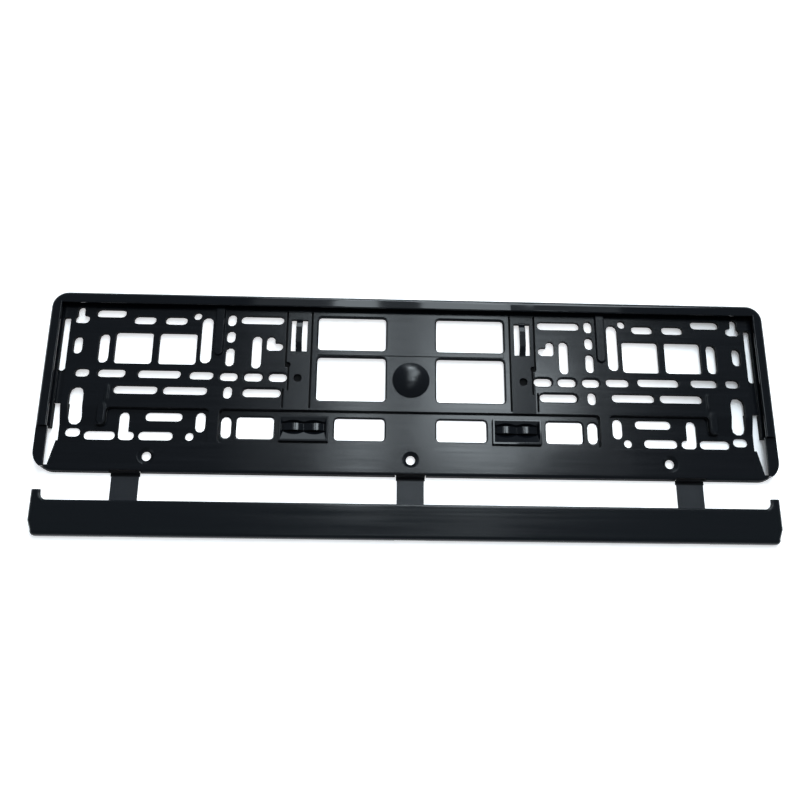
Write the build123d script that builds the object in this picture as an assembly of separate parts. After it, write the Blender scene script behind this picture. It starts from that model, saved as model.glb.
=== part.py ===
# Holder for a car's number plate, lying open on its back.
# A slotted base grips the plate at its top and sides, and a cover strip, carried by three
# straps with thin folds at both ends, closes over the plate's lower edge.
# +X runs to the right, +Y to the plate's top edge and +Z out of the front; the origin is on
# the back, in the middle of the band that lies against the car.
from build123d import *
from math import cos, pi, sin
import os

# Base: outline and section
base_width = 532.0
base_height = 134.5
top_corner = 12.0
bottom_corner = 14.0
wall = 2.5
skirt = 2.0
sheet = 3.0
bay_depth = 4.4
lip = 2.0
side_lip = 8.0
top_lip = 8.5
rim_round = 3.5
lip_round = 0.7
edge_round = 2.6

# Straps and their folds
strap_inset = 64.0
strap_width = 19.4
strap_thickness = 1.0
strap_reach = 22.25
film_width = 20.8
film_length = 2.4
film = 0.5
bead = 0.7
hinge_inset = 0.6
fold_gap = 0.2
bead_gap = 0.3
butt_gap = 0.5
hook_room = 0.8

# Cover strip
strip_inset = 1.0
strip_height = 25.0
strip_wall = 2.0
strip_overhang = 1.5
strip_corner = 3.5
strip_round = 3.0
end_cut = 2.4
end_foot = 4.0
end_rise = 10.5
plate_room = 2.2
hook_reach = 7.0
hook_width = 7.0
hook_fillet = 4.5

# Pockets behind the plate's lower edge
flange_height = 22.25
pocket_height = 25.5
pocket_floor = 1.5
pocket_corner = 3.0
centre_pocket = 277.2
divider = 7.1
finger_at = 46.5
finger_width = 6.4
finger_length = 13.2

# Slots and windows in the sheet
slot_width = 6.4
upright_width = 7.2
window_corner = 2.2
dish = 1.0
round_hole = 6.0
side_slit = 13.8
side_ledge = 8.6
slit_corner = 1.6
slit_start = 18.6
slit_end = 59.6
slit_gap = 2.5
slit_lean = 4.2
corner_bar = 4.6
bridge_depth = 1.5
slot_facets = 5
corner_facets = 2
screw_hole = 6.6
screw_head = 12.0
screw_cone = 100.0
screw_inset = 78.0
screw_height = 12.0

# Outer columns: distance from the side edge and from the top edge, then the length and,
# for the uprights and windows, the width and the height
outer_lying = [
    (43.0, 14.6, 22.0),
    (68.1, 19.4, 16.6),
    (91.2, 19.4, 16.6),
    (22.0, 19.6, 11.0),
    (26.3, 61.2, 10.8),
    (47.5, 61.2, 20.6),
    (112.6, 61.8, 17.8),
    (65.8, 73.6, 32.3),
    (101.6, 73.6, 32.3),
]
outer_upright = [
    (20.8, 15.0, 10.5, 5.4),
    (114.5, 34.2, 36.6, 8.4),
    (21.0, 40.0, 13.6, 6.8),
    (40.0, 42.0, 23.0, 7.8),
    (24.2, 85.8, 27.8, 10.4),
]
outer_windows = [
    (61.7, 41.4, 27.6, 24.6),
    (93.9, 41.4, 27.6, 24.6),
]
fixing_slot = (82.0, 61.3, 31.4)
outer_hole = (106.8, 15.4)

# Foot of the outer columns: distance from the side edge and from the bottom edge
foot_lying = [
    (23.6, 29.2, 11.0),
    (42.7, 27.2, 22.4),
    (61.6, 27.2, 11.6),
    (87.5, 41.6, 26.8),
    (82.6, 27.4, 24.8),
]
foot_upright = [
    (59.4, 34.6, 20.4),
    (114.0, 38.0, 15.0),
]
foot_hole = (106.8, 27.2)

# Inner columns: distance from the middle and from the top edge
inner_lying = [
    (111.0, 17.6, 32.2),
    (101.0, 38.4, 12.4),
]
dished_lying = [
    (133.6, 62.2, 13.2),
    (115.7, 62.2, 13.8),
    (97.8, 62.2, 13.6),
    (109.0, 74.2, 28.0),
]
inner_upright = [
    (133.6, 18.0, 9.6, 6.6),
    (133.6, 31.2, 9.6, 6.6),
    (133.6, 47.0, 14.8, 6.6),
    (133.6, 74.4, 9.8, 6.6),
    (104.0, 36.0, 11.6, 6.4),
    (114.2, 42.8, 26.0, 7.2),
]
inner_windows = [
    (44.0, 27.0, 50.4, 25.8),
    (44.0, 62.4, 50.4, 33.6),
]

# Middle pocket: distance from the middle and from the bottom edge
pocket_upright = (133.6, 34.6, 16.0)
pocket_windows = [
    (112.7, 34.6, 26.8, 16.0),
    (37.2, 34.6, 36.4, 16.2),
]

# Springs and raised details
dome_drop = 62.6
dome_width = 27.4
dome_rise = 4.3
leaf_place = 83.3
leaf_drop = 29.2
leaf_width = 4.6
leaf_length = 25.0
leaf_slit = 3.7
leaf_slope = 6.5
leaf_rise = 2.6
leaf = 1.5
spring_frame_place = 77.5
spring_frame_up = 34.0
spring_frame_length = 35.5
spring_frame_height = 18.6
spring_frame_bar = 3.0
spring_frame_edge = 1.3
spring_frame_rise = 3.5
wave_width = 5.2
wave_gap = 0.5
wave_up = 1.7
bar_width = 7.4
bar_length = 44.2
bar_rise = 2.0
bar_draft = 0.9
finger_rise = 1.0
groove_width = 1.3
groove_depth = 2.0
groove_start = 10.5
groove_lines = [
    (92.4, groove_start, 51.6),
    (90.2, 53.6, 72.2),
    (93.6, 71.0, 85.4),
    (73.9, groove_start, 85.4),
]
notch = (91.0, 52.4, 2.2)
locating_hole = (83.3, 62.4, 3.0)
rib_drop = 44.2
rib_length = 138.0
rib_width = 2.6
rib_rise = 0.8
ridge_inset = 45.7
ridge_drop = 76.0
ridge_length = 12.6
ridge_width = 3.7
ridge_rise = 0.8

# Levels above the back
floor = skirt + sheet
lip_back = floor + bay_depth
front = lip_back + lip

# Edges of the base
half_width = base_width / 2
step = pocket_height / 2
flange_edge = step - pocket_height
bottom = flange_edge - flange_height
top = bottom + base_height

# Fold axes: the straps turn half a circle and then lie on the flange, under the strip
hinge_y = bottom + hinge_inset
hinge_z = (floor + fold_gap + strap_thickness) / 2
strip_hinge_y = hinge_y - strap_reach
strip_hinge_z = strap_thickness / 2
close_shift = 2 * strap_reach
close_lift = 2 * (hinge_z - strip_hinge_z)

# Edges of the strip, open
strip_front = front - close_lift
strip_top = strip_hinge_y + strip_overhang
strip_bottom = strip_top - strip_height
hook_top = strip_top + hook_reach

# Where the closed strip meets the base
lip_end = hook_top + close_shift + butt_gap
rail_end = max(strip_bottom + close_shift + strip_wall, bottom + edge_round) + butt_gap
seat = close_lift + strip_front - strip_wall - hook_room

strap_places = {
    "strap_left": strap_inset - half_width,
    "strap_centre": 0.0,
    "strap_right": half_width - strap_inset,
}


def block(x0, x1, y0, y1, z0, z1):
    return Pos((x0 + x1) / 2, (y0 + y1) / 2, (z0 + z1) / 2) * Box(x1 - x0, y1 - y0, z1 - z0)


def area(x0, x1, y0, y1):
    return Pos((x0 + x1) / 2, (y0 + y1) / 2) * Rectangle(x1 - x0, y1 - y0)


def both_sides(shape):
    return shape + mirror(shape, about=Plane.YZ)


# A slot whose round ends have a few flats, as the many small slots of the sheet do
def slot(length, width, grow=0.0):
    radius = width / 2 + grow
    straight = (length - width) / 2
    turns = [pi * (i / slot_facets - 0.5) for i in range(slot_facets + 1)]
    end = [(straight + radius * cos(a), radius * sin(a)) for a in turns]
    return Polygon(*end, *[(-x, -y) for x, y in end], align=None)


def lying(x, y, length, grow=0.0):
    return Pos(x, y) * slot(length, slot_width, grow)


def upright(x, y, length, width=upright_width, grow=0.0):
    return Pos(x, y) * Rot(0, 0, 90) * slot(length, width, grow)


def window(x, y, width, height, grow=0.0):
    turns = [pi / 2 * i / corner_facets for i in range(corner_facets + 1)]
    corner = window_corner + grow
    across = width / 2 - window_corner
    up = height / 2 - window_corner
    arc = [(corner * cos(a), corner * sin(a)) for a in turns]
    first = [(across + u, up + v) for u, v in arc]
    second = [(-u, v) for u, v in reversed(first)]
    half = first + second
    return Pos(x, y) * Polygon(*half, *[(-u, -v) for u, v in half], align=None)


def prism(sketch, z0, z1):
    return extrude(Pos(0, 0, z0) * sketch, amount=z1 - z0)


def funnel(lower, z0, upper, z1):
    return loft([Pos(0, 0, z0) * lower, Pos(0, 0, z1) * upper], ruled=True)


def outline(inset=0.0):
    x = half_width - inset
    shape = area(-x, x, bottom + inset, top - inset)
    corners = shape.vertices().group_by(Axis.Y)
    shape = fillet(corners[-1], top_corner - inset)
    lower = shape.vertices().group_by(Axis.Y)[0]
    return fillet(lower, bottom_corner - inset)


# The sheet stands on a low skirt, and its lower edge is rounded over
def sheet_body():
    body = prism(outline(), 0, floor)
    return fillet(body.faces().sort_by(Axis.Z)[-1].edges(), edge_round)


# The rim: a wall round the base with lips over the top and side edges of the plate,
# set back below the lips' ends so that the closed strip lies flush with them
def rim():
    body = prism(outline(), 0, front)
    body = fillet(body.faces().sort_by(Axis.Z)[-1].edges(), rim_round)
    inside = outline(wall)
    bay = prism(inside, floor, lip_back)
    low_bay = prism(inside, floor, seat - lip)
    body -= bay & block(-half_width, half_width, lip_end, top, floor, front)
    body -= low_bay & block(-half_width, half_width, bottom, lip_end, floor, front)
    body -= block(-half_width, half_width, bottom, lip_end, seat, front)
    body -= block(-half_width, half_width, bottom, rail_end, 0, front)
    mouth = area(-half_width + side_lip, half_width - side_lip, bottom, top - top_lip)
    body -= prism(mouth, floor, front)
    edges = [
        edge
        for edge in body.edges().filter_by(GeomType.LINE).group_by(Axis.Z)[-1]
        if abs(edge.center().X) < half_width - side_lip + 0.1
        and edge.center().Y < top - top_lip + 0.1
        and edge.length > top_corner
    ]
    return fillet(edges, lip_round)


# The flange is notched where the straps fold round it
def shell():
    body = sheet_body() + rim()
    body -= prism(outline(wall), 0, skirt)
    room = hinge_inset + bead + bead_gap
    for x in strap_places.values():
        half = film_width / 2 + 2 * bead_gap
        body -= block(x - half, x + half, bottom, bottom + room, 0, floor)
    return body


# Pockets are set lower than the sheet, and the outer ones run out to the sides down a ramp
def pockets(body):
    back = half_width - wall
    body += block(-back, back, flange_edge - wall, step + wall, 0, skirt)
    centre = RectangleRounded(centre_pocket, pocket_height, pocket_corner)
    inner = centre_pocket / 2 + divider
    finger = half_width - finger_at
    outer = half_width - side_slit
    low = step - finger_length
    side = area(inner, finger, flange_edge, step) + area(inner, outer, flange_edge, low)
    turns = [v for v in side.vertices() if v.X < finger + 0.1 and v.Y > flange_edge + 0.1]
    side = fillet(turns, pocket_corner)
    ramp = make_face(Polyline((low, floor), (low, pocket_floor), (step, floor), close=True))
    slope = extrude(Plane.YZ.offset(finger + finger_width) * ramp, outer - finger - finger_width)
    body -= prism(centre, pocket_floor, floor)
    body -= both_sides(prism(side, pocket_floor, floor) + slope)
    return body


# Slots for screws: the outer columns keep to the base's sides and the inner ones to its middle
def outer_slots():
    s = half_width
    x, y, length = fixing_slot
    shapes = [Pos(s - x, top - y) * SlotOverall(length, slot_width)]
    shapes += [lying(s - x, top - y, length) for x, y, length in outer_lying]
    shapes += [lying(s - x, bottom + y, length) for x, y, length in foot_lying]
    shapes += [upright(s - x, top - y, length, width) for x, y, length, width in outer_upright]
    shapes += [upright(s - x, bottom + y, length) for x, y, length in foot_upright]
    shapes += [window(s - x, top - y, width, height) for x, y, width, height in outer_windows]
    holes = [(s - outer_hole[0], top - outer_hole[1]), (s - foot_hole[0], bottom + foot_hole[1])]
    shapes += [Pos(x, y) * Circle(round_hole / 2) for x, y in holes]
    return Sketch() + shapes


def inner_slots():
    x, y, length = pocket_upright
    shapes = [upright(x, bottom + y, length)]
    shapes += [lying(x, top - y, length) for x, y, length in inner_lying + dished_lying]
    shapes += [upright(x, top - y, length, width) for x, y, length, width in inner_upright]
    shapes += [window(x, top - y, width, height) for x, y, width, height in inner_windows]
    shapes += [window(x, bottom + y, width, height) for x, y, width, height in pocket_windows]
    return Sketch() + shapes


# Sloping edges of the openings in the middle, in which a screw's head can lie
def dishes():
    edges = [(floor, lying, (x, top - y, length)) for x, y, length in dished_lying]
    edges += [(floor, window, (x, top - y, *size)) for x, y, *size in inner_windows]
    edges += [(pocket_floor, window, (x, bottom + y, *size)) for x, y, *size in pocket_windows]
    x, y, length = pocket_upright
    edges += [(pocket_floor, upright, (x, bottom + y, length))]
    cuts = [
        funnel(shape(*sizes), level - dish, shape(*sizes, grow=dish), level)
        for level, shape, sizes in edges
    ]
    return Part() + cuts


# Long slits beside the side lips, two on each side with a sunk bridge between them, the lower
# one running out under the rail and narrowing to the corner
def side_slits(body):
    edge = half_width - side_slit
    ledge = half_width - side_ledge
    outside = half_width - wall
    upper_end = top - slit_end
    lower_end = step + slit_gap
    upper = fillet(area(edge, ledge, upper_end, top - slit_start).vertices(), slit_corner)
    lower = make_face(
        Polyline(
            (ledge, lower_end),
            (edge, lower_end),
            (edge, flange_edge),
            (edge + slit_lean, bottom + corner_bar),
            (outside - 1.0, bottom + corner_bar),
            (outside, bottom + bottom_corner),
            (outside, lip_end),
            (ledge, lip_end),
            close=True,
        )
    )
    bridge = block(edge, ledge, lower_end, upper_end, floor - bridge_depth, floor)
    through = prism(upper + lower, -wall, floor + bay_depth / 4)
    return body - both_sides(through + bridge)


def cut_openings(body):
    holes = outer_slots() + inner_slots()
    body -= both_sides(prism(holes, -wall, floor + bay_depth / 2))
    body -= both_sides(dishes())
    outer_screw = half_width - screw_inset
    for x in (-outer_screw, 0.0, outer_screw):
        hole = CounterSinkHole(screw_hole / 2, screw_head / 2, floor, screw_cone)
        body -= Pos(x, bottom + screw_height, floor) * hole
    return side_slits(body)


def crown_radius(width, rise):
    return ((width / 2) ** 2 + rise**2) / (2 * rise)


# A round dome in the middle presses on the back of the plate
def dome():
    radius = crown_radius(dome_width, dome_rise)
    y = top - dome_drop
    ball = Pos(0, y, floor + dome_rise - radius) * Sphere(radius)
    return ball & Pos(0, y, floor) * Cylinder(dome_width, 2 * dome_rise)


# A bar with sloping sides and round ends
def ridge(length, width, rise):
    crest = upright(0, 0, length, width, grow=-bar_draft)
    return funnel(upright(0, 0, length, width), 0, crest, rise)


def arch(length, rise, thickness, width):
    crest = rise + thickness / 2
    half = length / 2
    over = ThreePointArc((-half, thickness / 2), (0, crest), (half, thickness / 2))
    under = ThreePointArc((half, -thickness / 2), (0, crest - thickness), (-half, -thickness / 2))
    left = Line((-half, -thickness / 2), (-half, thickness / 2))
    right = Line((half, thickness / 2), (half, -thickness / 2))
    return extrude(make_face(over + right + under + left), amount=width / 2, both=True)


# An upright leaf spring between two slits, with a raised flat between its slopes
def leaf_springs(body):
    x = leaf_place
    y = top - leaf_drop
    half = leaf_length / 2
    slit = leaf_width / 2 + leaf_slit
    body -= both_sides(block(x - slit, x + slit, y - half, y + half, 0, front))
    flat = half - leaf_slope
    ramp = [(-half - leaf, 0), (-half, 0), (-flat, leaf_rise)]
    over = ramp + [(-u, v) for u, v in reversed(ramp)]
    under = [(u, v - leaf) for u, v in reversed(over)]
    bent = extrude(Polygon(*over, *under, align=None), amount=leaf_width / 2, both=True)
    body += both_sides(Pos(x, y, floor) * (Plane.YZ * bent))
    return body


# A raised frame in the middle pocket that slopes in to a well, with a wavy leaf across the well
def framed_springs(body):
    x = spring_frame_place
    y = bottom + spring_frame_up
    crest = pocket_floor + spring_frame_rise
    length = spring_frame_length - 2 * spring_frame_bar
    edge = 2 * spring_frame_edge
    frame = Pos(x, y) * Rectangle(spring_frame_length, spring_frame_height)
    mouth = Pos(x, y) * Rectangle(spring_frame_length - edge, spring_frame_height - edge)
    well = Pos(x, y + wave_up) * Rectangle(length, wave_width + 2 * wave_gap)
    body += both_sides(prism(frame, pocket_floor / 2, crest))
    body -= both_sides(funnel(well, pocket_floor, mouth, crest))
    body -= both_sides(prism(well, pocket_floor / 2, pocket_floor))
    hump = arch(length / 2, spring_frame_rise / 2, leaf, wave_width)
    for shift in (-length / 4, length / 4):
        body += both_sides(Pos(x + shift, y + wave_up, pocket_floor) * (Plane.XZ * hump))
    return body


# Raised bars between the pockets and on their fingers, and a low rib between the windows
def raised_bars(body):
    column = centre_pocket / 2 + divider / 2
    bar_y = top - wall - bar_length / 2
    finger_x = half_width - finger_at + finger_width / 2
    finger_y = step - finger_length / 2 + finger_width / 4
    body += both_sides(Pos(column, bar_y, floor) * ridge(bar_length, bar_width, bar_rise))
    finger = ridge(finger_length + finger_width / 2, finger_width, finger_rise)
    body += both_sides(Pos(finger_x, finger_y, floor) * finger)
    guide = ridge(ridge_length, ridge_width, ridge_rise)
    body += both_sides(Pos(half_width - ridge_inset, top - ridge_drop, floor) * guide)
    rib = area(-rib_length / 2, rib_length / 2, top - rib_drop, top - rib_drop + rib_width)
    return body + prism(rib, floor, floor + rib_rise)


# Grooves beside the leaf springs, one of them stepped, and a blind locating hole
def grooves(body):
    half = groove_width / 2
    shapes = [area(x - half, x + half, top - end, top - start) for x, start, end in groove_lines]
    shapes += [Pos(x, top - y) * Circle(radius) for x, y, radius in (notch, locating_hole)]
    return body - both_sides(prism(Sketch() + shapes, floor - groove_depth, floor + rib_rise))


def base():
    body = pockets(shell())
    body += dome()
    body = raised_bars(body)
    body = cut_openings(body)
    body = leaf_springs(body)
    body = framed_springs(body)
    return grooves(body)


# Strap: a flat tongue with a thin film at the base, turned up to a bead on the fold axis
def strap(x):
    near = hinge_y - bead
    film_end = near - film_length
    half = strap_width / 2
    tongue = block(x - half, x + half, strip_hinge_y, film_end, 0, strap_thickness)
    end = Rot(0, 90, 0) * Cylinder(strap_thickness / 2, strap_width)
    across = film_width / 2
    flat = block(x - across, x + across, film_end, near + film, 0, film)
    turn = block(x - across, x + across, near, near + film, 0, hinge_z)
    roll = Rot(0, 90, 0) * Cylinder(bead, film_width)
    body = tongue + flat + turn + Pos(x, hinge_y, hinge_z) * roll
    return body + Pos(x, strip_hinge_y, strip_hinge_z) * end


# Cover strip: a long face with a rounded lower wall, a narrow upper lip and a hook at each end
def strip():
    half = half_width - strip_inset
    foot = half - end_cut
    hook = half - hook_width
    right = make_face(
        Polyline(
            (0, strip_bottom),
            (foot, strip_bottom),
            (foot, strip_bottom + end_foot),
            (half, strip_bottom + end_rise),
            (half, hook_top),
            (hook, hook_top),
            (hook, strip_top),
            (0, strip_top),
            close=True,
        )
    )
    face = both_sides(right)
    face = fillet(face.vertices().group_by(Axis.Y)[0], strip_corner)
    face = fillet([v for v in face.vertices() if abs(v.Y - strip_top) < 0.01], hook_fillet)
    body = prism(face, 0, strip_front)
    rim = body.faces().sort_by(Axis.Z)[-1].edges()
    body = fillet([e for e in rim if e.center().Y < strip_top - strip_wall], strip_round)
    rim = body.faces().filter_by(Axis.Z).sort_by(Axis.Z)[-1].edges()
    inner = [e for e in rim if strip_top - 0.1 < e.center().Y < hook_top - 0.1]
    body = fillet(inner, strip_wall / 2)
    hollow = strip_front - strip_wall
    edge_lip = strip_top - strip_wall
    body -= block(-half, half, strip_bottom + strip_wall, edge_lip, 0, hollow)
    body -= block(-half, half, edge_lip, strip_top, 0, plate_room)
    body -= block(-half, half, strip_top, hook_top, 0, hollow)
    body -= both_sides(block(hook - hook_fillet, half, strip_bottom + strip_wall, hook_top, 0, hollow))
    for x in strap_places.values():
        seat_half = strap_width / 2
        lowest = strap_thickness + bead_gap
        body += block(x - seat_half, x + seat_half, edge_lip, strip_top - strip_wall / 4, lowest, hollow)
        room = film_width / 2 + 2 * bead_gap
        low = strap_thickness + 2 * fold_gap
        body -= block(x - room, x + room, strip_bottom, strip_bottom + strip_wall, 0, low)
    return body


os.makedirs("parts", exist_ok=True)
export_step(base(), "parts/base.step")
export_step(strip(), "parts/cover_strip.step")
for name, x in strap_places.items():
    export_step(strap(x), f"parts/{name}.step")
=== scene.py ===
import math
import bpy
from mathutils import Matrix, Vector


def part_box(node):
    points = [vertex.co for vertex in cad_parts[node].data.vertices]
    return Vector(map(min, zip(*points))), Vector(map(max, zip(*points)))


bl_info = {
    "name": "Number Plate Holder",
    "version": (1, 0, 0),
    "blender": (4, 5, 0),
    "location": "View3D > Sidebar > Plate Holder",
    "description": "Finishes a moulded number plate holder and lays it on a white studio table",
    "category": "Object",
}

import bpy
from mathutils import Vector

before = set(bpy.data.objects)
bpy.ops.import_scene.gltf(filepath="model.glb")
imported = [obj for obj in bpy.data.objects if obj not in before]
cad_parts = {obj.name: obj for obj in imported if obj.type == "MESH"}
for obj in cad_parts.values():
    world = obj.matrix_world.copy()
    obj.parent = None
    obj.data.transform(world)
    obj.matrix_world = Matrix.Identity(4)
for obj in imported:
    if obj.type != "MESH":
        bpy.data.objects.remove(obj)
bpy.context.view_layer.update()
STRAPS = ("strap_left", "strap_centre", "strap_right")

# Lengths and places are in metres, unless a name says millimetres
# Polypropylene's refractive index, and specular levels, where one half would be its full shine
PLASTIC_IOR = 1.49
SMOOTH_SHINE = 0.27
BLASTED_SHINE = 0.3
# How far the roughness strays to either side of its setting
ROUGHNESS_SPREAD = 0.03
# Rays that feel for a sharp edge near a point
EDGE_RAYS = 6

# Parts of the base that are finished apart, on the left as on the right: the middle and half the
# width across, then the middle and half the height along
LEAF_COLUMNS = (0.0832, 0.0088, 0.0563, 0.0435)
LEAVES = (0.0832, 0.0023, 0.0703, 0.0135)
SPRING_FRAMES = (0.0775, 0.0178, -0.001, 0.0094)
GROOVES = (0.0838, 0.0108, 0.0515, 0.0377)
# Floors of the grooves and blind holes lie below this level
GROOVE_LEVEL = 0.0034
# The lips are all that reaches these levels, and their polish comes on between the two
LIP_LEVELS = (0.0094, 0.0097)
# The right column leans outwards to the eye, with this slope
COLUMN_LEAN = 0.065
# Walls of the openings lie below the level, and their normals rise or drop by no more than the slope
WALL_TOP = 0.0051
WALL_SLOPE = 0.35
# The dome's middle, and how far it reaches
DOME_PLACE = (0.0, 0.0369, 0.007)
DOME_REACH = 0.0139

# The thin fold, which takes a painted shade from the base's edge, starts between these distances from
# the strap's upper end
FOLD_STARTS = (0.0042, 0.0034)
FOLD_ROUGHNESS = 0.95
STRAP_EDGE = 0.0003
# The straps' darkest and lightest patches, as shares of their colour
STRAP_SHADES = (0.8, 1.2)

TABLE_REACH = 6.0
TABLE_LEVEL = -0.0002
TABLE_ROUGHNESS = 0.9
# The darkest patch of the laminate, as a share of its colour
TABLE_SHADE = 0.99
# How much the table glows to the eye in the open, and in the shade under the ends of the base
OPEN_GLOW = 0.62
SHADED_GLOW = 0.1
# The shade comes on between these distances from its middle, which lies a little to the left
SHADE_MIDDLE = -0.03
SHADE_STARTS = (0.2, 0.29)
# The part of the table that the base covers, in the same terms as the parts of the base
UNDER_HOLDER = (0.0, 0.262, 0.033, 0.063)

# Soft lamps lying overhead: left and right edge, front and back edge, and how bright each looks
LAMP_HEIGHT = 1.6
LAMPS = (
    ("left_front", (-0.112, -0.006), (0.25, 0.72), 10.5),
    ("left_back", (-0.15, -0.007), (0.72, 2.2), 8.0),
    ("right_front", (0.132, 0.362), (0.3, 0.42), 12.0),
    ("right_middle", (0.105, 0.49), (0.42, 0.63), 12.0),
    ("right_back", (0.101, 0.352), (0.63, 2.2), 7.5),
    ("wide", (-0.36, 0.66), (0.26, 2.2), 0.8),
)
# Soft lamps turned to the holder: the middle, the width and height, and how bright each looks
TURNED_LAMPS = (
    ("front", (0.05, -0.1, 1.6), (0.7, 0.36), 1.3),
    ("side", (0.554, 1.216, 1.351), (0.51, 0.86), 8.0),
    ("low", (0.15, 2.2, 1.25), (1.2, 0.7), 5.0),
    ("left_low", (-0.28, 2.2, 0.74), (0.7, 0.26), 2.8),
    ("tube", (0.12, 2.1, 1.15), (0.6, 0.12), 30.0),
)
LAMP_COLOUR = "#ecf8ff"
# The studio's faintly blue walls, in linear light, are bright up to the first height above the
# table and dim from the second, where a height is the upward share of a direction
STUDIO_LIGHT = (0.85, 0.98, 1.12)
STUDIO_HEIGHTS = (0.05, 0.3)
STUDIO_STRENGTHS = (1.0, 0.22)

# The camera's sensor is in millimetres, as its lens is, and its turns are in degrees
SENSOR_WIDTH = 36.0
CAMERA_PLACE = (-0.02748, -0.15842, 0.59858)
CAMERA_TURNS = (16.8389, -2.0201, 0.4506)


def linear(hex_colour):
    """Turns an sRGB hex colour into the linear values that Blender's sockets take."""
    shares = [int(hex_colour[i : i + 2], 16) / 255 for i in (1, 3, 5)]
    return tuple(s / 12.92 if s <= 0.04045 else ((s + 0.055) / 1.055) ** 2.4 for s in shares)


def per_metre(size_mm):
    """The texture scale at which one feature of a pattern is this many millimetres."""
    return 1000.0 / size_mm


def add_node(tree, kind, links=None, **settings):
    """Adds a node, sets its settings, and fills each named input with a value or a link."""
    node = tree.nodes.new(kind)
    for name, value in settings.items():
        setattr(node, name, value)
    for name, value in (links or {}).items():
        if isinstance(value, bpy.types.NodeSocket):
            tree.links.new(value, node.inputs[name])
        else:
            node.inputs[name].default_value = value
    return node


def new_material(name):
    """Makes a material with an empty node tree, and gives both."""
    material = bpy.data.materials.new(name)
    material.use_nodes = True
    material.node_tree.nodes.clear()
    return material, material.node_tree


def finish_node(node_name, material):
    """Gives a node of the frame this material alone."""
    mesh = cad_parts[node_name].data
    mesh.materials.clear()
    mesh.materials.append(material)


def zone(tree, across, along, place):
    """A share that is one inside a rectangle on either side of the middle and nought elsewhere."""
    x, half_width, y, half_height = place
    beside = add_node(tree, "ShaderNodeMath", {0: across, 1: x, 2: half_width}, operation="COMPARE")
    level = add_node(tree, "ShaderNodeMath", {0: along, 1: y, 2: half_height}, operation="COMPARE")
    inside = add_node(
        tree, "ShaderNodeMath", {0: beside.outputs[0], 1: level.outputs[0]}, operation="MULTIPLY"
    )
    return inside.outputs[0]


class HolderBaseSettings(bpy.types.PropertyGroup):
    """Finish of the slotted base"""

    dark: bpy.props.FloatVectorProperty(
        name="Dark",
        description="Colour of the plastic where it flowed thickly",
        subtype="COLOR",
        min=0.0,
        max=1.0,
        default=linear("#090b0e"),
    )
    pale: bpy.props.FloatVectorProperty(
        name="Pale",
        description="Colour of the plastic along the flow lines",
        subtype="COLOR",
        min=0.0,
        max=1.0,
        default=linear("#0f1115"),
    )
    roughness: bpy.props.FloatProperty(
        name="Roughness",
        description="Roughness of the satin sheet",
        subtype="FACTOR",
        min=0.0,
        max=1.0,
        default=0.16,
    )
    polished_roughness: bpy.props.FloatProperty(
        name="Polished Roughness",
        description="Roughness of the polished lips, leaf springs and spring frames",
        subtype="FACTOR",
        min=0.0,
        max=1.0,
        default=0.05,
    )
    dome_roughness: bpy.props.FloatProperty(
        name="Dome Roughness",
        description="Roughness of the dome in the middle",
        subtype="FACTOR",
        min=0.0,
        max=1.0,
        default=0.22,
    )
    column_roughness: bpy.props.FloatProperty(
        name="Column Roughness",
        description="Roughness of the columns that hold the leaf springs",
        subtype="FACTOR",
        min=0.0,
        max=1.0,
        default=0.22,
    )
    groove_roughness: bpy.props.FloatProperty(
        name="Groove Roughness",
        description="Roughness of the walls of the openings and the floors of grooves and blind holes",
        subtype="FACTOR",
        min=0.0,
        max=1.0,
        default=0.9,
    )
    # Painted shade: a near-black colour laid on the walls of the openings and the floors of grooves
    # and blind holes, where shade falls
    painted_recess_shade: bpy.props.FloatVectorProperty(
        name="Groove",
        description="Colour of the walls of the openings and the floors of grooves and blind holes",
        subtype="COLOR",
        min=0.0,
        max=1.0,
        default=linear("#020203"),
    )
    edge: bpy.props.FloatProperty(
        name="Edge Radius",
        description="Radius to which the mould rounds the sharp edges",
        unit="LENGTH",
        min=0.0,
        default=0.0004,
    )


class HolderStripSettings(bpy.types.PropertyGroup):
    """Finish of the cover strip"""

    colour: bpy.props.FloatVectorProperty(
        name="Colour",
        description="Colour of the polished plastic",
        subtype="COLOR",
        min=0.0,
        max=1.0,
        default=linear("#0f1215"),
    )
    roughness: bpy.props.FloatProperty(
        name="Roughness",
        description="Roughness of the polished mould surface",
        subtype="FACTOR",
        min=0.0,
        max=1.0,
        default=0.15,
    )
    edge: bpy.props.FloatProperty(
        name="Edge Radius",
        description="Radius to which the mould rounds the sharp edges",
        unit="LENGTH",
        min=0.0,
        default=0.0022,
    )


class HolderStrapSettings(bpy.types.PropertyGroup):
    """Finish of the straps"""

    colour: bpy.props.FloatVectorProperty(
        name="Colour",
        description="Colour of the matt plastic",
        subtype="COLOR",
        min=0.0,
        max=1.0,
        default=linear("#1c1e22"),
    )
    # Painted shade that the base's edge casts on the thin fold, as a near-black colour
    painted_fold_shade: bpy.props.FloatVectorProperty(
        name="Film",
        description="Colour of the thin fold at the base",
        subtype="COLOR",
        min=0.0,
        max=1.0,
        default=linear("#08080a"),
    )
    roughness: bpy.props.FloatProperty(
        name="Roughness",
        description="Roughness of the matt mould surface",
        subtype="FACTOR",
        min=0.0,
        max=1.0,
        default=0.42,
    )


class HolderStageSettings(bpy.types.PropertyGroup):
    """Table, lamps and camera"""

    table: bpy.props.FloatVectorProperty(
        name="Table",
        description="Colour of the table",
        subtype="COLOR",
        min=0.0,
        max=1.0,
        default=linear("#f7f7f7"),
    )
    lamps: bpy.props.FloatProperty(
        name="Lamps",
        description="Strength of all the soft lamps",
        subtype="FACTOR",
        min=0.0,
        default=1.0,
    )
    lens: bpy.props.FloatProperty(
        name="Lens",
        description="Focal length of the camera",
        unit="CAMERA",
        min=1.0,
        default=38.25,
    )


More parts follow.
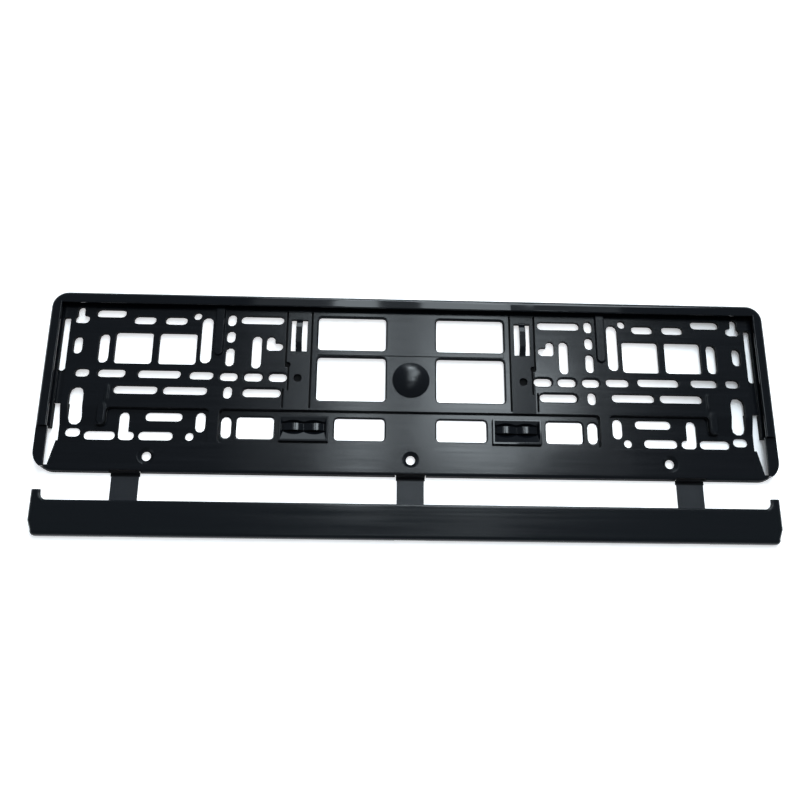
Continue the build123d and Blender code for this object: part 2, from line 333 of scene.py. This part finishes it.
# Polypropylene, injection moulded against a spark-eroded steel face: a satin black that spreads
# a lamp into a broad grey patch, with faint streaks along the way the melt ran
def satin_polypropylene(settings):
    material, tree = new_material("satin_moulded_polypropylene")
    place = add_node(tree, "ShaderNodeTexCoord").outputs["Object"]
    streak_mm = (60, 1.8, 1.8)
    stretch = [per_metre(size) for size in streak_mm]
    run = add_node(tree, "ShaderNodeMapping", {"Vector": place, "Scale": stretch})
    streaks = add_node(
        tree, "ShaderNodeTexNoise", {"Vector": run.outputs[0], "Scale": 1.0, "Detail": 3.0}
    )
    sink_mm = 38
    sinks = add_node(
        tree, "ShaderNodeTexNoise", {"Vector": place, "Scale": per_metre(sink_mm), "Detail": 1.0}
    )
    # The real grain is near 0.1 mm, drawn at 0.6 mm so that it shows
    grain_mm = 0.6
    grain = add_node(
        tree, "ShaderNodeTexNoise", {"Vector": place, "Scale": per_metre(grain_mm), "Detail": 2.0}
    )

    # Shares of the places that are finished apart
    spot = add_node(tree, "ShaderNodeSeparateXYZ", {"Vector": place})
    across = add_node(tree, "ShaderNodeMath", {0: spot.outputs["X"]}, operation="ABSOLUTE")
    columns, leaves, frames, lines = [
        zone(tree, across.outputs[0], spot.outputs["Y"], area)
        for area in (LEAF_COLUMNS, LEAVES, SPRING_FRAMES, GROOVES)
    ]
    lips = add_node(
        tree,
        "ShaderNodeMapRange",
        {"Value": spot.outputs["Z"], "From Min": LIP_LEVELS[0], "From Max": LIP_LEVELS[1]},
    )
    polished = add_node(tree, "ShaderNodeMath", {0: leaves, 1: frames}, operation="MAXIMUM")
    polished = add_node(
        tree, "ShaderNodeMath", {0: polished.outputs[0], 1: lips.outputs[0]}, operation="MAXIMUM"
    )
    deep = add_node(
        tree, "ShaderNodeMath", {0: spot.outputs["Z"], 1: GROOVE_LEVEL}, operation="LESS_THAN"
    )
    floors = add_node(tree, "ShaderNodeMath", {0: lines, 1: deep.outputs[0]}, operation="MULTIPLY")
    face = add_node(tree, "ShaderNodeNewGeometry")
    rise = add_node(tree, "ShaderNodeSeparateXYZ", {"Vector": face.outputs["True Normal"]})
    steep = add_node(
        tree, "ShaderNodeMath", {0: rise.outputs["Z"], 1: 0, 2: WALL_SLOPE}, operation="COMPARE"
    )
    low = add_node(tree, "ShaderNodeMath", {0: spot.outputs["Z"], 1: WALL_TOP}, operation="LESS_THAN")
    walls = add_node(
        tree, "ShaderNodeMath", {0: steep.outputs[0], 1: low.outputs[0]}, operation="MULTIPLY"
    )
    # Walls of the openings and floors of grooves and blind holes, which take a painted shade in their
    # colour and a matt roughness
    shaded_matt_recesses = add_node(
        tree, "ShaderNodeMath", {0: floors.outputs[0], 1: walls.outputs[0]}, operation="MAXIMUM"
    )
    away = add_node(tree, "ShaderNodeVectorMath", {0: place, 1: DOME_PLACE}, operation="DISTANCE")
    dome = add_node(
        tree, "ShaderNodeMath", {0: away.outputs["Value"], 1: DOME_REACH}, operation="LESS_THAN"
    )

    plain = add_node(
        tree,
        "ShaderNodeMixRGB",
        {"Fac": streaks.outputs["Fac"], "Color1": (*settings.dark, 1), "Color2": (*settings.pale, 1)},
    )
    # Painted shade darkens the walls of the openings and the floors of grooves and blind holes
    colour = add_node(
        tree,
        "ShaderNodeMixRGB",
        {"Fac": shaded_matt_recesses.outputs[0], "Color1": plain.outputs[0], "Color2": (*settings.painted_recess_shade, 1)},
    )
    rough = add_node(
        tree,
        "ShaderNodeMapRange",
        {
            "Value": streaks.outputs["Fac"],
            "From Min": 0.3,
            "From Max": 0.7,
            "To Min": settings.roughness - ROUGHNESS_SPREAD,
            "To Max": settings.roughness + ROUGHNESS_SPREAD,
        },
    )
    finishes = (
        (columns, settings.column_roughness),
        (polished.outputs[0], settings.polished_roughness),
        (dome.outputs[0], settings.dome_roughness),
        (shaded_matt_recesses.outputs[0], settings.groove_roughness),
    )
    for share, roughness in finishes:
        rough = add_node(
            tree, "ShaderNodeMix", {"Factor": share, "A": rough.outputs[0], "B": roughness}
        )

    # Rounded edges, then shallow sink marks, then the grain, which polished places don't have
    edge = add_node(tree, "ShaderNodeBevel", {"Radius": settings.edge}, samples=EDGE_RAYS)
    waves = add_node(
        tree,
        "ShaderNodeBump",
        {
            "Height": sinks.outputs["Fac"],
            "Strength": 0.25,
            "Distance": 0.0006,
            "Normal": edge.outputs[0],
        },
    )
    depth = add_node(
        tree, "ShaderNodeMapRange", {"Value": polished.outputs[0], "To Min": 0.12, "To Max": 0.0}
    )
    tooth = add_node(
        tree,
        "ShaderNodeBump",
        {
            "Height": grain.outputs["Fac"],
            "Strength": depth.outputs[0],
            "Distance": 0.0001,
            "Normal": waves.outputs[0],
        },
    )
    side = add_node(tree, "ShaderNodeMath", {0: spot.outputs["X"], 1: 0}, operation="GREATER_THAN")
    turn = add_node(tree, "ShaderNodeMath", {0: side.outputs[0], 1: columns}, operation="MULTIPLY")
    lean = add_node(
        tree,
        "ShaderNodeVectorMath",
        {0: (COLUMN_LEAN, 0, 0), "Scale": turn.outputs[0]},
        operation="SCALE",
    )
    leant = add_node(
        tree, "ShaderNodeVectorMath", {0: tooth.outputs[0], 1: lean.outputs[0]}, operation="ADD"
    )
    facing = add_node(tree, "ShaderNodeVectorMath", {0: leant.outputs[0]}, operation="NORMALIZE")
    shader = add_node(
        tree,
        "ShaderNodeBsdfPrincipled",
        {
            "Base Color": colour.outputs[0],
            "Roughness": rough.outputs[0],
            "IOR": PLASTIC_IOR,
            "Specular IOR Level": SMOOTH_SHINE,
            "Normal": facing.outputs[0],
        },
    )
    add_node(tree, "ShaderNodeOutputMaterial", {"Surface": shader.outputs[0]})
    return material


# The same polypropylene against a polished steel face: a deeper black with a clearer reflection,
# a little wavy where the plastic shrank
def polished_polypropylene(settings):
    material, tree = new_material("polished_moulded_polypropylene")
    place = add_node(tree, "ShaderNodeTexCoord").outputs["Object"]
    ripple_mm = (90, 14, 14)
    stretch = [per_metre(size) for size in ripple_mm]
    run = add_node(tree, "ShaderNodeMapping", {"Vector": place, "Scale": stretch})
    ripples = add_node(
        tree, "ShaderNodeTexNoise", {"Vector": run.outputs[0], "Scale": 1.0, "Detail": 1.0}
    )
    # Wiping marks of a few tenths of a millimetre, drawn at 2 mm so that they show
    mark_mm = (120, 2.0, 2.0)
    fine = [per_metre(size) for size in mark_mm]
    wiped = add_node(tree, "ShaderNodeMapping", {"Vector": place, "Scale": fine})
    marks = add_node(
        tree, "ShaderNodeTexNoise", {"Vector": wiped.outputs[0], "Scale": 1.0, "Detail": 4.0}
    )
    rough = add_node(
        tree,
        "ShaderNodeMapRange",
        {
            "Value": marks.outputs["Fac"],
            "From Min": 0.35,
            "From Max": 0.65,
            "To Min": settings.roughness - ROUGHNESS_SPREAD,
            "To Max": settings.roughness + ROUGHNESS_SPREAD,
        },
    )
    edge = add_node(tree, "ShaderNodeBevel", {"Radius": settings.edge}, samples=EDGE_RAYS)
    waves = add_node(
        tree,
        "ShaderNodeBump",
        {
            "Height": ripples.outputs["Fac"],
            "Strength": 0.2,
            "Distance": 0.0006,
            "Normal": edge.outputs[0],
        },
    )
    shader = add_node(
        tree,
        "ShaderNodeBsdfPrincipled",
        {
            "Base Color": (*settings.colour, 1),
            "Roughness": rough.outputs[0],
            "IOR": PLASTIC_IOR,
            "Specular IOR Level": SMOOTH_SHINE,
            "Normal": waves.outputs[0],
        },
    )
    add_node(tree, "ShaderNodeOutputMaterial", {"Surface": shader.outputs[0]})
    return material


# Polypropylene against a blasted steel face: a flat dark grey, with a painted shade of dull black
# where the plastic is pressed thin to fold, under the base's edge
def blasted_polypropylene(settings):
    material, tree = new_material("blasted_moulded_polypropylene")
    place = add_node(tree, "ShaderNodeTexCoord").outputs["Object"]
    along = add_node(tree, "ShaderNodeSeparateXYZ", {"Vector": place})
    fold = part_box("strap_centre")[1].y
    # The thin fold under the base's edge, which takes a painted shade and a rougher finish
    shaded_fold = add_node(
        tree,
        "ShaderNodeMapRange",
        {
            "Value": along.outputs["Y"],
            "From Min": fold - FOLD_STARTS[0],
            "From Max": fold - FOLD_STARTS[1],
        },
    )
    # Blasting grit leaves pits near 0.2 mm, drawn at 0.8 mm so that they show
    pit_mm = 0.8
    pits = add_node(
        tree, "ShaderNodeTexNoise", {"Vector": place, "Scale": per_metre(pit_mm), "Detail": 2.0}
    )
    cloud_mm = 9
    cloud = add_node(
        tree, "ShaderNodeTexNoise", {"Vector": place, "Scale": per_metre(cloud_mm), "Detail": 2.0}
    )
    darkest, lightest = [(*(c * share for c in settings.colour), 1) for share in STRAP_SHADES]
    worn = add_node(
        tree,
        "ShaderNodeMixRGB",
        {"Fac": cloud.outputs["Fac"], "Color1": darkest, "Color2": lightest},
    )
    # Painted shade on the thin fold, under the base's edge
    colour = add_node(
        tree,
        "ShaderNodeMixRGB",
        {"Fac": shaded_fold.outputs[0], "Color1": worn.outputs[0], "Color2": (*settings.painted_fold_shade, 1)},
    )
    rough = add_node(
        tree,
        "ShaderNodeMapRange",
        {"Value": shaded_fold.outputs[0], "To Min": settings.roughness, "To Max": FOLD_ROUGHNESS},
    )
    edge = add_node(tree, "ShaderNodeBevel", {"Radius": STRAP_EDGE}, samples=EDGE_RAYS)
    tooth = add_node(
        tree,
        "ShaderNodeBump",
        {
            "Height": pits.outputs["Fac"],
            "Strength": 0.3,
            "Distance": 0.0001,
            "Normal": edge.outputs[0],
        },
    )
    shader = add_node(
        tree,
        "ShaderNodeBsdfPrincipled",
        {
            "Base Color": colour.outputs[0],
            "Roughness": rough.outputs[0],
            "IOR": PLASTIC_IOR,
            "Specular IOR Level": BLASTED_SHINE,
            "Normal": tooth.outputs[0],
        },
    )
    add_node(tree, "ShaderNodeOutputMaterial", {"Surface": shader.outputs[0]})
    return material


# White laminate, pressed and faintly uneven: a flat white that glows a little to the eye, so that
# it stays white where the holder throws no shadow
def white_laminate(settings):
    material, tree = new_material("white_laminate")
    place = add_node(tree, "ShaderNodeTexCoord").outputs["Object"]
    mottle_mm = 120
    mottle = add_node(
        tree, "ShaderNodeTexNoise", {"Vector": place, "Scale": per_metre(mottle_mm), "Detail": 2.0}
    )
    darkest = (*(c * TABLE_SHADE for c in settings.table), 1)
    tone = add_node(
        tree,
        "ShaderNodeMixRGB",
        {"Fac": mottle.outputs["Fac"], "Color1": darkest, "Color2": (*settings.table, 1)},
    )
    seen = add_node(tree, "ShaderNodeLightPath")
    direct = add_node(
        tree,
        "ShaderNodeMath",
        {0: seen.outputs["Is Camera Ray"], 1: seen.outputs["Is Glossy Ray"]},
        operation="MAXIMUM",
    )
    eye = add_node(
        tree,
        "ShaderNodeMath",
        {0: direct.outputs[0], 1: seen.outputs["Is Transmission Ray"]},
        operation="MAXIMUM",
    )
    # The shade under the holder is darker towards its ends, and more so on the right
    spot = add_node(tree, "ShaderNodeSeparateXYZ", {"Vector": place})
    shift = add_node(
        tree, "ShaderNodeMath", {0: spot.outputs["X"], 1: SHADE_MIDDLE}, operation="SUBTRACT"
    )
    aside = add_node(tree, "ShaderNodeMath", {0: shift.outputs[0]}, operation="ABSOLUTE")
    end = add_node(
        tree,
        "ShaderNodeMapRange",
        {
            "Value": aside.outputs[0],
            "From Min": SHADE_STARTS[0],
            "From Max": SHADE_STARTS[1],
            "To Min": OPEN_GLOW,
            "To Max": SHADED_GLOW,
        },
    )
    across = add_node(tree, "ShaderNodeMath", {0: spot.outputs["X"]}, operation="ABSOLUTE")
    under = zone(tree, across.outputs[0], spot.outputs["Y"], UNDER_HOLDER)
    share = add_node(tree, "ShaderNodeMix", {"Factor": under, "A": OPEN_GLOW, "B": end.outputs[0]})
    glow = add_node(
        tree, "ShaderNodeMath", {0: eye.outputs[0], 1: share.outputs[0]}, operation="MULTIPLY"
    )
    shader = add_node(
        tree,
        "ShaderNodeBsdfPrincipled",
        {
            "Base Color": tone.outputs[0],
            "Roughness": TABLE_ROUGHNESS,
            "Specular IOR Level": 0.0,
            "Emission Color": (1, 1, 1, 1),
            "Emission Strength": glow.outputs[0],
        },
    )
    add_node(tree, "ShaderNodeOutputMaterial", {"Surface": shader.outputs[0]})
    return material


class HOLDER_OT_base(bpy.types.Operator):
    """Give the base its satin plastic"""

    bl_idname = "holder.finish_base"
    bl_label = "Finish Base"

    def execute(self, context):
        finish_node("base", satin_polypropylene(context.scene.holder_base))
        return {"FINISHED"}


class HOLDER_OT_strip(bpy.types.Operator):
    """Give the cover strip its polished plastic"""

    bl_idname = "holder.finish_strip"
    bl_label = "Finish Cover Strip"

    def execute(self, context):
        finish_node("cover_strip", polished_polypropylene(context.scene.holder_strip))
        return {"FINISHED"}


class HOLDER_OT_straps(bpy.types.Operator):
    """Give the straps their matt plastic, with painted shade on their thin folds"""

    bl_idname = "holder.finish_straps"
    bl_label = "Finish Straps"

    def execute(self, context):
        material = blasted_polypropylene(context.scene.holder_strap)
        for name in STRAPS:
            finish_node(name, material)
        return {"FINISHED"}


def studio_walls():
    """Makes the world that stands in for the studio's walls."""
    world = bpy.data.worlds.new("studio")
    world.use_nodes = True
    tree = world.node_tree
    tree.nodes.clear()
    way = add_node(tree, "ShaderNodeTexCoord").outputs["Generated"]
    height = add_node(tree, "ShaderNodeSeparateXYZ", {"Vector": way})
    strength = add_node(
        tree,
        "ShaderNodeMapRange",
        {
            "Value": height.outputs["Z"],
            "From Min": STUDIO_HEIGHTS[0],
            "From Max": STUDIO_HEIGHTS[1],
            "To Min": STUDIO_STRENGTHS[0],
            "To Max": STUDIO_STRENGTHS[1],
        },
    )
    walls = add_node(
        tree, "ShaderNodeBackground", {"Color": (*STUDIO_LIGHT, 1), "Strength": strength.outputs[0]}
    )
    add_node(tree, "ShaderNodeOutputWorld", {"Surface": walls.outputs[0]})
    return world


def soft_lamp(name, size, place, aim, radiance):
    """Hangs a rectangular lamp that faces a point and looks this bright, whatever its size."""
    data = bpy.data.lights.new(name, "AREA")
    data.shape = "RECTANGLE"
    data.size, data.size_y = size
    data.color = linear(LAMP_COLOUR)
    data.energy = radiance * math.pi * math.prod(size)
    lamp = bpy.data.objects.new(name, data)
    bpy.context.scene.collection.objects.link(lamp)
    lamp.location = place
    way = lamp.location - Vector(aim)
    lamp.rotation_euler = way.to_track_quat("Z", "Y").to_euler()
    lamp.visible_camera = False


class HOLDER_OT_stage(bpy.types.Operator):
    """Lay the holder on a white table under soft lamps and place the camera"""

    bl_idname = "holder.set_stage"
    bl_label = "Set Stage"

    def execute(self, context):
        scene = context.scene
        settings = scene.holder_stage
        scene.view_settings.view_transform = "Standard"

        ends = (-TABLE_REACH, TABLE_REACH)
        corners = [(x, y, TABLE_LEVEL) for x in ends for y in ends]
        mesh = bpy.data.meshes.new("table")
        mesh.from_pydata(corners, [], [(0, 2, 3, 1)])
        mesh.materials.append(white_laminate(settings))
        table = bpy.data.objects.new("table", mesh)
        scene.collection.objects.link(table)

        scene.world = studio_walls()
        for name, across, along, radiance in LAMPS:
            place = (sum(across) / 2, sum(along) / 2, LAMP_HEIGHT)
            size = (across[1] - across[0], along[1] - along[0])
            soft_lamp(name, size, place, (*place[:2], 0.0), settings.lamps * radiance)
        for name, place, size, radiance in TURNED_LAMPS:
            soft_lamp(name, size, place, (0.0, 0.0, 0.0), settings.lamps * radiance)

        camera = bpy.data.objects.new("camera", bpy.data.cameras.new("camera"))
        camera.data.sensor_width = SENSOR_WIDTH
        camera.data.lens = settings.lens
        camera.location = CAMERA_PLACE
        camera.rotation_euler = [math.radians(turn) for turn in CAMERA_TURNS]
        scene.collection.objects.link(camera)
        scene.camera = camera
        return {"FINISHED"}


class HOLDER_PT_panel(bpy.types.Panel):
    """Lists the steps that finish the holder"""

    bl_idname = "HOLDER_PT_panel"
    bl_label = "Plate Holder"
    bl_space_type = "VIEW_3D"
    bl_region_type = "UI"
    bl_category = "Plate Holder"

    def draw(self, context):
        for settings, operator in STEPS:
            group = getattr(context.scene, settings)
            box = self.layout.box()
            for name in group.bl_rna.properties.keys():
                if name not in ("rna_type", "name"):
                    box.prop(group, name)
            box.operator(operator.bl_idname)


GROUPS = {
    "holder_base": HolderBaseSettings,
    "holder_strip": HolderStripSettings,
    "holder_strap": HolderStrapSettings,
    "holder_stage": HolderStageSettings,
}
STEPS = (
    ("holder_base", HOLDER_OT_base),
    ("holder_strip", HOLDER_OT_strip),
    ("holder_strap", HOLDER_OT_straps),
    ("holder_stage", HOLDER_OT_stage),
)
OPERATORS = tuple(operator for _, operator in STEPS)
CLASSES = (*GROUPS.values(), *OPERATORS, HOLDER_PT_panel)


def register():
    for made in CLASSES:
        bpy.utils.register_class(made)
    for name, group in GROUPS.items():
        setattr(bpy.types.Scene, name, bpy.props.PointerProperty(type=group))


def unregister():
    for name in GROUPS:
        delattr(bpy.types.Scene, name)
    for made in reversed(CLASSES):
        bpy.utils.unregister_class(made)


def main():
    register()
    bpy.ops.holder.finish_base()
    bpy.ops.holder.finish_strip()
    bpy.ops.holder.finish_straps()
    bpy.ops.holder.set_stage()


if __name__ == "__main__":
    main()
